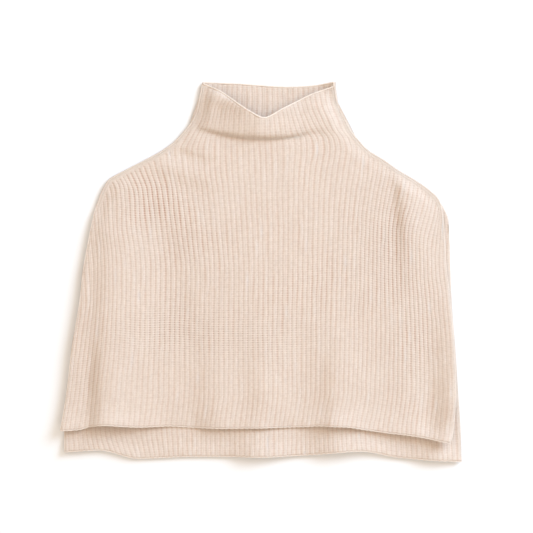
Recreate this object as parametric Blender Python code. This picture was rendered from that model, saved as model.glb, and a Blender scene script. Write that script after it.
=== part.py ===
"""Ribbed knit poncho with a funnel neck, laid flat on its back.

Two fully fashioned panels, each knit in one with its half of the neck. The longer back lies on the
floor, and the front lies on it. The panels are linked along the shoulders and the sides of the neck,
and their side edges are open below the shoulder corners. All sizes below are in millimetres: x runs
across the garment, y from the hem to the neck, and z up from the floor.
"""
from collections import namedtuple

import bpy
import numpy as np

MM = 0.001

# Knit
RIBS = 82                      # ribs across each panel at the hem
THICKNESS = 3.0                # cloth over the crest of a rib
RIB_DEPTH = 0.7                # from the crest of a rib down to the valley beside it
CREST_START = 0.20             # part of a rib's width where its crest starts
CREST_END = 0.80               # and where it ends
EDGE_BAND = 7.0                # plain fashioned edge along the shoulders and the sides of the neck
BAND_FADE = 2.0                # the ribs fade in over this distance on each side of the band's end
PLAIN_STEP = 2                 # ribs between the columns of a panel's plain face
BEND_LENGTH = 90.0             # a rib bends over this length to meet the edge where it ends

# Lay
SEAM_GAP = 0.3                 # between the panels where they meet
LOFT = 3.5                     # how far the front lies off the back where nothing lifts or presses it
SEAM_ROLL = 24.0               # the front rounds down to a shoulder seam over this distance
CORNER_HEIGHT = 106.0          # height y of the shoulder corners, where the side edges part
ROW_CLEARANCE = 3.0            # no row of points lies closer than this below the top of a column
SETTLE_STEPS = 12              # repeats that settle where a rib line meets the hem or the neck edge

# One section across a panel: where its edges are, and which ribs end there
Section = namedtuple("Section", "height left_x left_rib right_x right_rib")

# The linked edges, which both panels share, and the ribs of each panel that end there
Shoulder = namedtuple("Shoulder", "height left_x right_x front_left front_right back_left back_right")
SHOULDERS = (
    Shoulder(127, -246, 260, 8.2, 75.0, 8.2, 75.0),
    Shoulder(143, -236, 237, 10.6, 71.0, 10.6, 71.0),
    Shoulder(158, -210, 212, 15.2, 67.0, 15.2, 67.0),
    Shoulder(174, -179, 189, 19.7, 63.2, 19.7, 63.0),
    Shoulder(189, -152, 165, 22.6, 59.8, 23.0, 59.0),
    Shoulder(205, -131, 150, 24.3, 58.0, 25.4, 57.2),
    Shoulder(220, -118, 138, 25.0, 57.6, 26.5, 56.2),
    Shoulder(236, -106, 130, 25.3, 57.45, 27.0, 55.5),
    Shoulder(251, -100, 122, 25.55, 57.3, 27.4, 55.0),
    Shoulder(267, -97, 117, 25.8, 57.15, 27.7, 54.5),
)
FRONT_SIDES = (
    Section(-270, -314, 0, 288, 82),
    Section(-246, -310, 0, 295, 82),
    Section(-183, -300, 0, 300, 82),
    Section(-121, -293, 0, 298, 82),
    Section(-43, -280, 0, 292, 82),
    Section(3, -275, 1.6, 287, 82),
    Section(65, -264, 3.9, 283, 82),
    Section(97, -257, 5.2, 280, 80.5),
    Section(112, -252, 6.5, 275, 78.0),
)
BACK_SIDES = (
    Section(-300, -303, 0, 310, 82),
    Section(-252, -305, 0, 309, 82),
    Section(-183, -295, 0, 305, 82),
    Section(-121, -289, 0, 301, 82),
    Section(-43, -277, 0, 295, 82),
    Section(34, -267, 2.6, 292, 82),
    Section(74, -260, 4.2, 291, 81.5),
    Section(97, -256, 5.2, 284, 80.2),
    Section(112, -252, 6.5, 274, 78.0),
)
FRONT_NECK_TOP = Section(292, -92, 26, 113, 57)
BACK_NECK_TOP = Section(293, -91, 28, 115, 54)

# Where the guide ribs lie at each height, which sets the lean and the spacing of all ribs
Guide = namedtuple("Guide", "height rib_10 rib_24 rib_33 rib_42 rib_51 rib_60")
GUIDE_RIBS = (10, 24, 33, 42, 51, 60)
BODY_GUIDES = (
    Guide(-183, -232, -119, -51, 18, 83, 147),
    Guide(-90, -224, -119, -51, 17, 84, 150),
    Guide(0, -222, -117, -50, 18, 86, 152),
    Guide(65, -228, -123, -54, 18, 87, 154),
    Guide(127, -235, -131, -59, 16, 89, 160),
    Guide(158, -252, -138, -63, 16, 92, 165),
)
FRONT_GUIDES = BODY_GUIDES + (
    Guide(-240, -236, -125, -57, 12, 75, 137),
    Guide(189, -268, -142, -64, 15, 97, 167),
    Guide(205, -267, -134, -63, 14, 95, 162),
    Guide(220, -266, -125, -59, 13, 85, 153),
    Guide(236, -258, -114, -57, 12, 77, 148),
    Guide(251, -250, -110, -54, 11, 71, 142),
    Guide(267, -248, -110, -45, 10, 68, 137),
    Guide(293, -244, -107, -37, 9, 66, 134),
)
BACK_GUIDES = BODY_GUIDES + (
    Guide(-289, -222, -121, -57, 12, 75, 140),
    Guide(-245, -234, -123, -57, 12, 75, 138),
    Guide(189, -268, -143, -64, 16, 94, 171),
    Guide(220, -266, -138, -62, 15, 92, 165),
    Guide(251, -250, -124, -55, 17, 89, 158),
    Guide(293, -244, -123, -53, 16, 88, 160),
)

# Edges across a panel, as (x, y)
FRONT_HEM = ((-310, -244), (-284, -243), (-259, -237), (-240, -235), (-216, -237), (-185, -239),
             (-147, -238), (-104, -240), (-61, -241), (7, -240), (60, -239), (94, -237), (132, -238),
             (150, -241), (187, -247), (237, -253), (291, -263))
BACK_HEM = ((-305, -278), (-250, -275), (-191, -288), (-100, -285), (0, -285), (63, -283), (150, -276),
            (215, -287), (310, -293))
FRONT_NECK = ((-92, 292), (-64, 278), (-19, 247), (4, 237), (34, 251), (79, 274), (113, 286))
BACK_NECK = ((-91, 293), (-40, 291), (45, 286), (80, 288), (115, 293))

# A soft ridge along a line of points (x, y, height), which runs down or to the right, and how far it
# reaches to its lower and its higher side in x or y. It is a trough where its heights are negative
Fold = namedtuple("Fold", "name line low_width high_width")
FRONT_FOLDS = (
    Fold("neck crease", ((-95, 218, -2), (-64, 213, -3), (-34, 209, -4), (5, 207, -4),
                         (35, 207, -3.5), (91, 214, -2)), 9, 6),
    Fold("neck lip", ((-85, 226, 1.5), (-50, 220, 4), (-15, 217, 4.5), (15, 215, 4.5), (45, 216, 3.5),
                      (75, 221, 1.5)), 6, 22),
    Fold("neck roll", ((-90, 262, 7), (-60, 263, 11), (-28, 258, 17), (0, 252, 20), (30, 248, 12),
                       (60, 248, 7), (100, 252, 5.5)), 37, 18),
    Fold("left neck edge", ((-66, 272, 3.5), (-30, 254, 2)), 13, 13),
    Fold("right neck edge", ((35, 253, 2), (80, 272, 4)), 13, 13),
    Fold("upper diagonal crease", ((-150, 190, -1), (-120, 180, -3.8), (-90, 171, -2.5), (-60, 162, 0)),
         16, 9),
    Fold("lower diagonal crease", ((-185, 153, -1), (-140, 139, -3.2), (-95, 125, -2.5), (-50, 110, 0)),
         22, 13),
    Fold("left shoulder", ((-240, 116, -2.5), (-252, 84, -1.5)), 20, 20),
    Fold("left ridge", ((-206, 150, 0), (-222, 105, 3), (-231, 60, 7), (-240, -90, 7.5), (-244, -240, 8)),
         24, 56),
    Fold("lower left ridge", ((-239, -50, 0), (-242, -150, 3), (-244, -240, 4)), 11, 40),
    Fold("left valley", ((-172, 110, -1.5), (-155, 57, -3), (-124, -59, -3.5), (-116, -240, -3.5)),
         42, 28),
    Fold("left edge", ((-256, 95, 0.5), (-267, 40, 1), (-281, -50, 4.5), (-297, -165, 4.5),
                       (-310, -244, 6)), 24, 24),
    Fold("left edge valley", ((-262, -100, 0), (-265, -170, -2), (-268, -240, -2)), 8, 8),
    Fold("left hem ridge", ((-74, -110, 0), (-70, -190, 3), (-66, -240, 4)), 24, 30),
    Fold("middle hem ridge", ((2, -90, 0), (1, -180, 4.5), (1, -240, 3)), 20, 36),
    Fold("right hem valley", ((66, -100, 0), (63, -160, -2), (60, -240, -1.5)), 24, 24),
    Fold("right hem ridge", ((118, -80, 0), (116, -160, 6), (114, -240, 6)), 18, 46),
    Fold("right shoulder valley", ((203, 140, -1.5), (207, 70, -1.8), (209, -10, -0.5)), 9, 9),
    Fold("right shoulder ridge", ((218, 140, 5), (224, 70, 5.5), (227, -20, 0.5)), 13, 28),
    Fold("right side turned down", ((288, 120, -3), (292, 20, -3.5), (296, -50, -1)), 28, 14),
    Fold("right side trough", ((262, -50, 0), (260, -240, -3.5)), 22, 16),
    Fold("right side rim", ((297, -20, 0.5), (299, -140, 6.5), (295, -230, 10.5), (288, -262, 9.5)),
         22, 12),
    Fold("left hem lift", ((-300, -244, 2), (-230, -236, 3.5), (-160, -238, 1)), 15, 15),
    Fold("hem lying close", ((-140, -238, -1), (-104, -240, -2), (-90, -240, 0)), 13, 13),
    Fold("middle of the hem lying close", ((-8, -240, 0), (25, -240, -3), (52, -239, -2)), 13, 13),
    Fold("hem lifted beside the ridge", ((66, -239, 1.5), (108, -237, 3), (140, -239, 1)), 14, 14),
    Fold("right hem lift", ((180, -246, 1), (240, -253, 6), (275, -259, 4)), 16, 16),
)

# The right corner of the neck stands off the floor, back and front together
NECK_CORNER = Fold("right neck corner", ((121, 256, 0), (114, 296, 10)), 18, 18)

# The underside of the neck roll slumps down over the crease by these distances (x, y, drop)
NECK_SLUMP = Fold("slump", ((-95, 226, 1.5), (-64, 221, 4.5), (-34, 216, 6), (5, 214, 6), (35, 214, 4.5),
                            (66, 218, 2)), 7, 16)

# A wave that lifts the back's hem off the floor, and the front's with it
Wave = namedtuple("Wave", "x low_width high_width height")
BACK_WAVES = (
    Wave(-290, 60, 70, 4.0),
    Wave(-8, 30, 46, 12.0),
    Wave(120, 34, 48, 13.0),
    Wave(268, 28, 36, 7.5),
)
WAVE_REACH = 80.0              # the waves die away over this distance up from the hem
HEM_LIFT = 3.0                 # the back's hem stands this far off the floor between the waves
HEM_LIFT_REACH = 25.0          # and comes down to it over this distance

# Rows of points up each column: heights above the hem, then heights y of the rows over those
Rows = namedtuple("Rows", "above_hem heights")
FRONT_ROWS = Rows((0, 9, 27, 70), (-110, -70, -20, 30, 80, 112, 135, 155, 172, 186, 198, 206, 212,
                                   218, 226, 235, 246, 258, 274))
BACK_ROWS = Rows((0, 18, 45, 80), (-60, 0, 60, 115, 155, 190, 225, 255, 276))

WOOL_COLOUR = (0.86, 0.72, 0.61, 1.0)
WOOL_ROUGHNESS = 0.95


def ease(amount):
    """0 below 0, 1 above 1, and a smooth rise between."""
    amount = np.clip(amount, 0.0, 1.0)
    return amount * amount * (3.0 - 2.0 * amount)


def smooth_curve(points):
    """The function whose curve runs smoothly through (at, value) points and doesn't overshoot them."""
    at, value = np.array(sorted(points), dtype=float).T
    step = np.diff(at)
    slope = np.diff(value) / step
    both = slope[:-1] * slope[1:]
    tangent = np.concatenate(([slope[0]], np.zeros(len(both)), [slope[-1]]))
    inner = both > 0.0
    tangent[1:-1][inner] = 2.0 * both[inner] / (slope[:-1] + slope[1:])[inner]

    def curve(where):
        where = np.clip(where, at[0], at[-1])
        i = np.clip(np.searchsorted(at, where, side="right") - 1, 0, len(step) - 1)
        return hermite((where - at[i]) / step[i], value[i], value[i + 1],
                       tangent[i] * step[i], tangent[i + 1] * step[i])
    return curve


def hermite(t, start, end, start_tangent, end_tangent):
    """The cubic from start to end, with the given slopes at its ends, for t from 0 to 1."""
    rise = t * t * (3.0 - 2.0 * t)
    return (start + (end - start) * rise + start_tangent * t * (1.0 - t) ** 2
            - end_tangent * t * t * (1.0 - t))


def near_line(x, y, line):
    """Distance from points to a line of points (x, y, value), the value there, and the side they are on.

    The side is -1 below or left of a line that runs to the right or down, 1 on the other side, and between
    the two beyond its ends.
    """
    corners = np.array(line, dtype=float)
    nearest = np.full(np.shape(x), np.inf)
    value, side = np.zeros(np.shape(x)), np.zeros(np.shape(x))
    for (x0, y0, start), (x1, y1, end) in zip(corners[:-1], corners[1:]):
        length = np.hypot(x1 - x0, y1 - y0)
        unit_x, unit_y = (x1 - x0) / length, (y1 - y0) / length
        step = np.clip((x - x0) * unit_x + (y - y0) * unit_y, 0.0, length)
        off_x, off_y = x - x0 - step * unit_x, y - y0 - step * unit_y
        away = np.hypot(off_x, off_y)
        closer = away < nearest
        value = np.where(closer, start + (end - start) * step / length, value)
        side = np.where(closer, (unit_x * off_y - unit_y * off_x) / np.maximum(away, 1e-9), side)
        nearest = np.where(closer, away, nearest)
    return nearest, value, side


def hump(away, side, low_width, high_width):
    """A smooth hump, 1 at its crest, with a width of its own on each side."""
    width = 0.5 * (low_width + high_width + (high_width - low_width) * side)
    return np.exp(-(away / width) ** 2)


def fold_height(x, y, fold):
    """Height of a fold at points: its line's value there, falling away to both sides."""
    away, value, side = near_line(x, y, fold.line)
    return value * hump(away, side, fold.low_width, fold.high_width)


class Panel:
    """The outline of a panel and the lines of its ribs."""

    def __init__(self, sides, shoulders, neck_top, guides, hem, neck):
        sections = sides + shoulders + (neck_top,)
        self.neck_top = neck_top
        self.left = smooth_curve((s.height, s.left_x) for s in sections)
        self.right = smooth_curve((s.height, s.right_x) for s in sections)
        left_ends = {s.left_rib: s.height for s in sections}
        right_ends = {s.right_rib: s.height for s in sections}
        self.left_end = smooth_curve(left_ends.items())
        self.right_end = smooth_curve(right_ends.items())
        self.hem = smooth_curve(hem)
        self.neck = smooth_curve(neck)
        self.guide_ribs = (0,) + GUIDE_RIBS + (RIBS,)
        self.guides = [self.side_line(self.left, left_ends[0])]
        for column in range(len(GUIDE_RIBS)):
            self.guides.append(smooth_curve((row.height, row[column + 1]) for row in guides))
        self.guides.append(self.side_line(self.right, right_ends[RIBS]))

    @staticmethod
    def side_line(edge, end_height):
        """A side edge up to where its rib ends, and straight on above that."""
        return lambda y: edge(np.minimum(y, end_height))

    def free_rib_x(self, rib, y):
        """x at heights y on a rib's line, before it is bent to meet the edge."""
        lines = [guide(y) for guide in self.guides]
        ribs = self.guide_ribs
        last = len(ribs) - 1
        i = min(np.searchsorted(ribs, rib, side="right") - 1, last - 1)
        width = ribs[i + 1] - ribs[i]
        before, after = max(i - 1, 0), min(i + 2, last)
        start_slope = (lines[i + 1] - lines[before]) / (ribs[i + 1] - ribs[before])
        end_slope = (lines[after] - lines[i]) / (ribs[after] - ribs[i])
        return hermite((rib - ribs[i]) / width, lines[i], lines[i + 1],
                       start_slope * width, end_slope * width)

    def column_ends(self, rib):
        """Heights of a rib line's two ends, and how far its top is moved to meet the edge."""
        bottom = 0.0
        for _ in range(SETTLE_STEPS):
            bottom = float(self.hem(self.free_rib_x(rib, bottom)))
        if self.neck_top.left_rib < rib < self.neck_top.right_rib:
            top = 0.0
            for _ in range(SETTLE_STEPS):
                top = float(self.neck(self.free_rib_x(rib, top)))
            return bottom, top, 0.0
        on_left = rib <= self.neck_top.left_rib
        top = float(self.left_end(rib) if on_left else self.right_end(rib))
        edge = self.left if on_left else self.right
        return bottom, top, float(edge(top) - self.free_rib_x(rib, top))

    def column(self, rib, rows):
        """x and y of the points up a rib's line, from the hem to where the rib ends."""
        bottom, top, shift = self.column_ends(rib)
        between = [height for height in rows.heights if height < top - ROW_CLEARANCE]
        y = np.array([bottom + step for step in rows.above_hem] + between + [top])
        x = self.free_rib_x(rib, y) + shift * ease(1.0 - (top - y) / BEND_LENGTH)
        return x, y


FRONT_SHOULDERS = tuple(Section(s.height, s.left_x, s.front_left, s.right_x, s.front_right)
                        for s in SHOULDERS)
BACK_SHOULDERS = tuple(Section(s.height, s.left_x, s.back_left, s.right_x, s.back_right)
                       for s in SHOULDERS)
FRONT = Panel(FRONT_SIDES, FRONT_SHOULDERS, FRONT_NECK_TOP, FRONT_GUIDES, FRONT_HEM, FRONT_NECK)
BACK = Panel(BACK_SIDES, BACK_SHOULDERS, BACK_NECK_TOP, BACK_GUIDES, BACK_HEM, BACK_NECK)
SEAM_HEIGHTS = np.linspace(CORNER_HEIGHT, BACK_NECK_TOP.height, 40)
SEAMS = ([(BACK.left(y), y, 0.0) for y in SEAM_HEIGHTS], [(BACK.right(y), y, 0.0) for y in SEAM_HEIGHTS])


def seam_distance(x, y):
    """Distance to the nearer of the two linked edges."""
    return np.minimum(near_line(x, y, SEAMS[0])[0], near_line(x, y, SEAMS[1])[0])


def valley_depth(rib, x, y):
    """How far the outer face of the knit lies below its rib crests."""
    part = rib - np.floor(rib)
    in_valley = np.where(part < CREST_START, 1.0 - part / CREST_START,
                         np.clip((part - CREST_END) / (1.0 - CREST_END), 0.0, 1.0))
    fade = ease((seam_distance(x, y) - EDGE_BAND + BAND_FADE) / (2.0 * BAND_FADE))
    return RIB_DEPTH * in_valley * fade


def back_floor(x, y):
    """Height of the back's lower face, on the floor but for its hem and one corner of the neck."""
    above_hem = y - BACK.hem(x)
    height = 0.0
    for wave in BACK_WAVES:
        away = x - wave.x
        height = height + wave.height * hump(np.abs(away), np.sign(away), wave.low_width, wave.high_width)
    waves = ease(1.0 - above_hem / WAVE_REACH) * height
    hem_lift = HEM_LIFT * ease(1.0 - above_hem / HEM_LIFT_REACH)
    return waves + hem_lift + fold_height(x, y, NECK_CORNER)


def front_lift(x, y):
    """How far the front's lower face lies off the back: loft and folds, rounded down to the seams."""
    lift = np.full(np.shape(x), LOFT)
    for fold in FRONT_FOLDS:
        lift = lift + fold_height(x, y, fold)
    lift = 0.5 * (lift + np.sqrt(lift * lift + 1.0))
    return lift * ease(seam_distance(x, y) / SEAM_ROLL)


def back_place(x, y):
    """y and height of the back's lower face."""
    return y, back_floor(x, y)


def front_place(x, y):
    """y and height of the front's lower face, with the neck roll slumped over its crease."""
    drop = fold_height(x, y, NECK_SLUMP) * ease(seam_distance(x, y) / SEAM_ROLL)
    return y - drop, back_floor(x, y) + THICKNESS + SEAM_GAP + front_lift(x, y)


def ribbed_columns():
    """Rib numbers of the outer face's columns: a valley and the two sides of a crest for each rib."""
    columns = [rib + part for rib in range(RIBS) for part in (0.0, CREST_START, CREST_END)]
    return columns + [RIBS]


def plain_columns(panel, ribbed):
    """Places in the ribbed columns of the plain face's columns, all of them where the neck's sides are."""
    def kept(rib):
        whole = rib % PLAIN_STEP == 0
        corners = (panel.neck_top.left_rib, panel.neck_top.right_rib)
        return whole or any(abs(rib - corner) < 3 for corner in corners)
    return [i for i, rib in enumerate(ribbed) if kept(rib)]


def closing_strip(fine, coarse, places):
    """Triangles between a fine row of points and a coarse one, whose points face some of the fine ones."""
    triangles = []
    for k in range(len(coarse) - 1):
        start, end = places[k], places[k + 1]
        middle = (start + end + 1) // 2
        triangles += [(fine[i], fine[i + 1], coarse[k]) for i in range(start, middle)]
        triangles.append((coarse[k], fine[middle], coarse[k + 1]))
        triangles += [(fine[i], fine[i + 1], coarse[k + 1]) for i in range(middle, end)]
    return triangles


def zip_columns(left, right, rows_left, rows_right):
    """Faces between two neighbouring columns of point numbers, which may end at different heights."""
    paired = min(len(left), len(right)) - 2
    faces = [(left[j], right[j], right[j + 1], left[j + 1]) for j in range(paired)]
    a = b = paired
    while a < len(left) - 1 or b < len(right) - 1:
        left_next = rows_left[a + 1] if a < len(left) - 1 else np.inf
        right_next = rows_right[b + 1] if b < len(right) - 1 else np.inf
        if left_next <= right_next:
            faces.append((left[a], right[b], left[a + 1]))
            a += 1
        else:
            faces.append((left[a], right[b], right[b + 1]))
            b += 1
    return faces


def panel_mesh(name, panel, rows, place):
    """One closed wall: a ribbed upper face over a plain lower one, joined along all four edges."""
    ribs = ribbed_columns()
    columns = [panel.column(rib, rows) for rib in ribs]
    heights = [column[1] for column in columns]
    x = np.concatenate([column[0] for column in columns])
    y = np.concatenate(heights)
    rib = np.repeat(ribs, [len(column) for column in heights])
    moved_y, lower = place(x, y)
    upper = lower + THICKNESS - valley_depth(rib, x, y)

    top, count = [], 0
    for column in heights:
        top.append(list(range(count, count + len(column))))
        count += len(column)
    places = plain_columns(panel, ribs)
    low = []
    for i in places:
        low.append(list(range(count, count + len(top[i]))))
        count += len(top[i])
    kept = [number for i in places for number in top[i]]
    low_points = np.stack((x, moved_y, lower), axis=-1)[kept]
    points = np.concatenate((np.stack((x, moved_y, upper), axis=-1), low_points)) * MM

    faces = []
    for i in range(len(top) - 1):
        faces += zip_columns(top[i], top[i + 1], heights[i], heights[i + 1])
    for k in range(len(low) - 1):
        strip = zip_columns(low[k], low[k + 1], heights[places[k]], heights[places[k + 1]])
        faces += [face[::-1] for face in strip]
    hem_strip = closing_strip([column[0] for column in top], [column[0] for column in low], places)
    neck_strip = closing_strip([column[-1] for column in top], [column[-1] for column in low], places)
    left_strip = closing_strip(top[0], low[0], range(len(top[0])))
    right_strip = closing_strip(top[-1], low[-1], range(len(top[-1])))
    faces += [face[::-1] for face in hem_strip + right_strip]
    faces += neck_strip + left_strip

    mesh = bpy.data.meshes.new(name)
    mesh.from_pydata(points.tolist(), [], faces)
    mesh.materials.append(wool(name))
    mesh.validate()
    panel_object = bpy.data.objects.new(name, mesh)
    bpy.context.scene.collection.objects.link(panel_object)
    return panel_object


def wool(name):
    """Undyed pale wool for one panel."""
    material = bpy.data.materials.new(name + "_wool")
    material.use_nodes = True
    shader = material.node_tree.nodes["Principled BSDF"]
    shader.inputs["Base Color"].default_value = WOOL_COLOUR
    shader.inputs["Roughness"].default_value = WOOL_ROUGHNESS
    shader.inputs["Metallic"].default_value = 0.0
    return material


def main():
    for item in list(bpy.data.objects):
        bpy.data.objects.remove(item, do_unlink=True)
    panel_mesh("back_panel", BACK, BACK_ROWS, back_place)
    panel_mesh("front_panel", FRONT, FRONT_ROWS, front_place)


main()
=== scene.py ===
"""Looks of the ribbed knit poncho, laid flat and seen from straight above.

Each solid panel is replaced by a knit shell on the same outline, rib lines and folds, with every stitch
raised. Chain-stitch edges and the fashioned bands along the shoulders lie on the shells. Sizes are in
millimetres, in the frame of the part: x across, y from the hem to the neck, z up from the floor.
"""
from collections import namedtuple

import bpy
import numpy as np
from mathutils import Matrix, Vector


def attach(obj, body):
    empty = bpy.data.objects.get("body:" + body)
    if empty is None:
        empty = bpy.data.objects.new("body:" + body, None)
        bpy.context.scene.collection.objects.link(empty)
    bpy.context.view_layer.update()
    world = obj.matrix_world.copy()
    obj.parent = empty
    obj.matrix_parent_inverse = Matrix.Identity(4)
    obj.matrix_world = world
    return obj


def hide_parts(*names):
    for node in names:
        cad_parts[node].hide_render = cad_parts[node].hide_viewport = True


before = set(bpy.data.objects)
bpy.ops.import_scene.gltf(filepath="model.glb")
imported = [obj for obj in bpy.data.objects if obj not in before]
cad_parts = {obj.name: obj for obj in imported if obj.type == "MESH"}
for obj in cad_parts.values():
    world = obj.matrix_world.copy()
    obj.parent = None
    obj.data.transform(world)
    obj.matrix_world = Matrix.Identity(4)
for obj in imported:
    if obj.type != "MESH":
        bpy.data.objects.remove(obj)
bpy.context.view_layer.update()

MM = 0.001

# Knit
RIBS = 82                      # ribs across each panel at the hem
COURSE = 3.6                   # height of one course of stitches
ROWS_PER_COURSE = 2            # rows of points to a course
THICKNESS = 3.0                # cloth over the crest of a rib
RIB_DEPTH = 0.5                # from the crest of a rib down to the valley beside it
RIB_PITCH = 7.3                # from one rib to the next, where the cloth isn't drawn in
LEG = 0.32                     # a stitch's two legs stand this far from the middle of the rib, in ribs
LEG_SWING = 0.04               # and lean in and out by this much along each course
BEAD = 0.18                    # half the rise and fall of the legs over one course
DIMPLE = 0.18                  # half the rise and fall of the valley floor over one course
LUMP = 0.08                    # slow unevenness in the height of a rib
WANDER = 0.06                  # and in its line, in ribs
STITCH_LUMP = 0.04             # unevenness from one stitch to the next
LUMP_COURSES = 7.0             # courses from one lump to the next
EDGE_BAND = 7.0                # plain fashioned edge along the shoulders and the sides of the neck
BAND_FADE = 2.0                # the ribs fade in over this distance on each side of the band's end
PLAIN_RIBS = 2                 # ribs between the columns of a shell's plain lower face
PLAIN_ROWS = 6                 # and stitch rows between its rows
BEND_LENGTH = 90.0             # a rib bends over this length to meet the edge where it ends
SETTLE_STEPS = 12              # repeats that settle where a rib line meets the hem or the neck edge
CORNER_RIBS = 3                # the lower face has every column this near a corner of the neck, in ribs
BACK_SEED = 11                 # starts of the random draws for the stitches of each panel
FRONT_SEED = 12

# Lay
SEAM_GAP = 0.3                 # between the panels where they meet
LOFT = 3.5                     # how far the front lies off the back where nothing lifts or presses it
SEAM_ROLL = 24.0               # the front rounds down to a shoulder seam over this distance
CORNER_HEIGHT = 106.0          # height y of the shoulder corners, where the side edges part
HEM_ROUND = 1.6                # the upper face rounds down to an edge over this distance
CONTACT_ROUND = 1.0            # the front settles softly on the back over about this height
SEAM_POINTS = 40               # points along each linked edge, for distances to it
AREA_REACH = (320.0, 300.0)    # half the width and height of the grid that measures a panel's area
AREA_STEP = 0.5                # and the step between its points

# One section across a panel: where its edges are, and which ribs end there
Section = namedtuple("Section", "height left_x left_rib right_x right_rib")

# The linked edges, which both panels share, and the ribs of each panel that end there
Shoulder = namedtuple("Shoulder", "height left_x right_x front_left front_right back_left back_right")
SHOULDERS = (
    Shoulder(127, -246, 260, 8.2, 75.0, 8.2, 75.0),
    Shoulder(143, -236, 237, 10.6, 71.0, 10.6, 71.0),
    Shoulder(158, -210, 212, 15.2, 67.0, 15.2, 67.0),
    Shoulder(174, -179, 189, 19.7, 63.2, 19.7, 63.0),
    Shoulder(189, -152, 165, 22.6, 59.8, 23.0, 59.0),
    Shoulder(205, -131, 150, 24.3, 58.0, 25.4, 57.2),
    Shoulder(220, -118, 138, 25.0, 57.6, 26.5, 56.2),
    Shoulder(236, -106, 130, 25.3, 57.45, 27.0, 55.5),
    Shoulder(251, -100, 122, 25.55, 57.3, 27.4, 55.0),
    Shoulder(267, -97, 117, 25.8, 57.15, 27.7, 54.5),
)
FRONT_SIDES = (
    Section(-270, -314, 0, 288, 82),
    Section(-246, -310, 0, 295, 82),
    Section(-183, -300, 0, 300, 82),
    Section(-121, -293, 0, 298, 82),
    Section(-43, -280, 0, 292, 82),
    Section(3, -275, 1.6, 287, 82),
    Section(65, -264, 3.9, 283, 82),
    Section(97, -257, 5.2, 280, 80.5),
    Section(112, -252, 6.5, 275, 78.0),
)
BACK_SIDES = (
    Section(-300, -303, 0, 310, 82),
    Section(-252, -305, 0, 309, 82),
    Section(-183, -295, 0, 305, 82),
    Section(-121, -289, 0, 301, 82),
    Section(-43, -277, 0, 295, 82),
    Section(34, -267, 2.6, 292, 82),
    Section(74, -260, 4.2, 291, 81.5),
    Section(97, -256, 5.2, 284, 80.2),
    Section(112, -252, 6.5, 274, 78.0),
)
FRONT_NECK_TOP = Section(292, -92, 26, 113, 57)
BACK_NECK_TOP = Section(293, -91, 28, 115, 54)

# Where the guide ribs lie at each height, which sets the lean and the spacing of all ribs
Guide = namedtuple("Guide", "height rib_10 rib_24 rib_33 rib_42 rib_51 rib_60")
GUIDE_RIBS = (10, 24, 33, 42, 51, 60)
BODY_GUIDES = (
    Guide(-183, -232, -119, -51, 18, 83, 147),
    Guide(-90, -224, -119, -51, 17, 84, 150),
    Guide(0, -222, -117, -50, 18, 86, 152),
    Guide(65, -228, -123, -54, 18, 87, 154),
    Guide(127, -235, -131, -59, 16, 89, 160),
    Guide(158, -252, -138, -63, 16, 92, 165),
)
FRONT_GUIDES = BODY_GUIDES + (
    Guide(-240, -236, -125, -57, 12, 75, 137),
    Guide(189, -268, -142, -64, 15, 97, 167),
    Guide(205, -267, -134, -63, 14, 95, 162),
    Guide(220, -266, -125, -59, 13, 85, 153),
    Guide(236, -258, -114, -57, 12, 77, 148),
    Guide(251, -250, -110, -54, 11, 71, 142),
    Guide(267, -248, -110, -45, 10, 68, 137),
    Guide(293, -244, -107, -37, 9, 66, 134),
)
BACK_GUIDES = BODY_GUIDES + (
    Guide(-289, -222, -121, -57, 12, 75, 140),
    Guide(-245, -234, -123, -57, 12, 75, 138),
    Guide(189, -268, -143, -64, 16, 94, 171),
    Guide(220, -266, -138, -62, 15, 92, 165),
    Guide(251, -250, -124, -55, 17, 89, 158),
    Guide(293, -244, -123, -53, 16, 88, 160),
)

# Edges across a panel, as (x, y)
FRONT_HEM = ((-310, -244), (-284, -243), (-259, -237), (-240, -235), (-216, -237), (-185, -239),
             (-147, -238), (-104, -240), (-61, -241), (7, -240), (60, -239), (94, -237),
             (132, -238), (150, -241), (187, -247), (237, -253), (291, -263))
BACK_HEM = ((-305, -278), (-250, -275), (-191, -288), (-100, -285), (0, -285), (63, -283),
            (150, -276), (215, -287), (310, -293))
FRONT_NECK = ((-92, 292), (-64, 278), (-19, 247), (4, 237), (34, 251), (79, 274), (113, 286))
BACK_NECK = ((-91, 293), (-40, 291), (45, 286), (80, 288), (115, 293))

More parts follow.
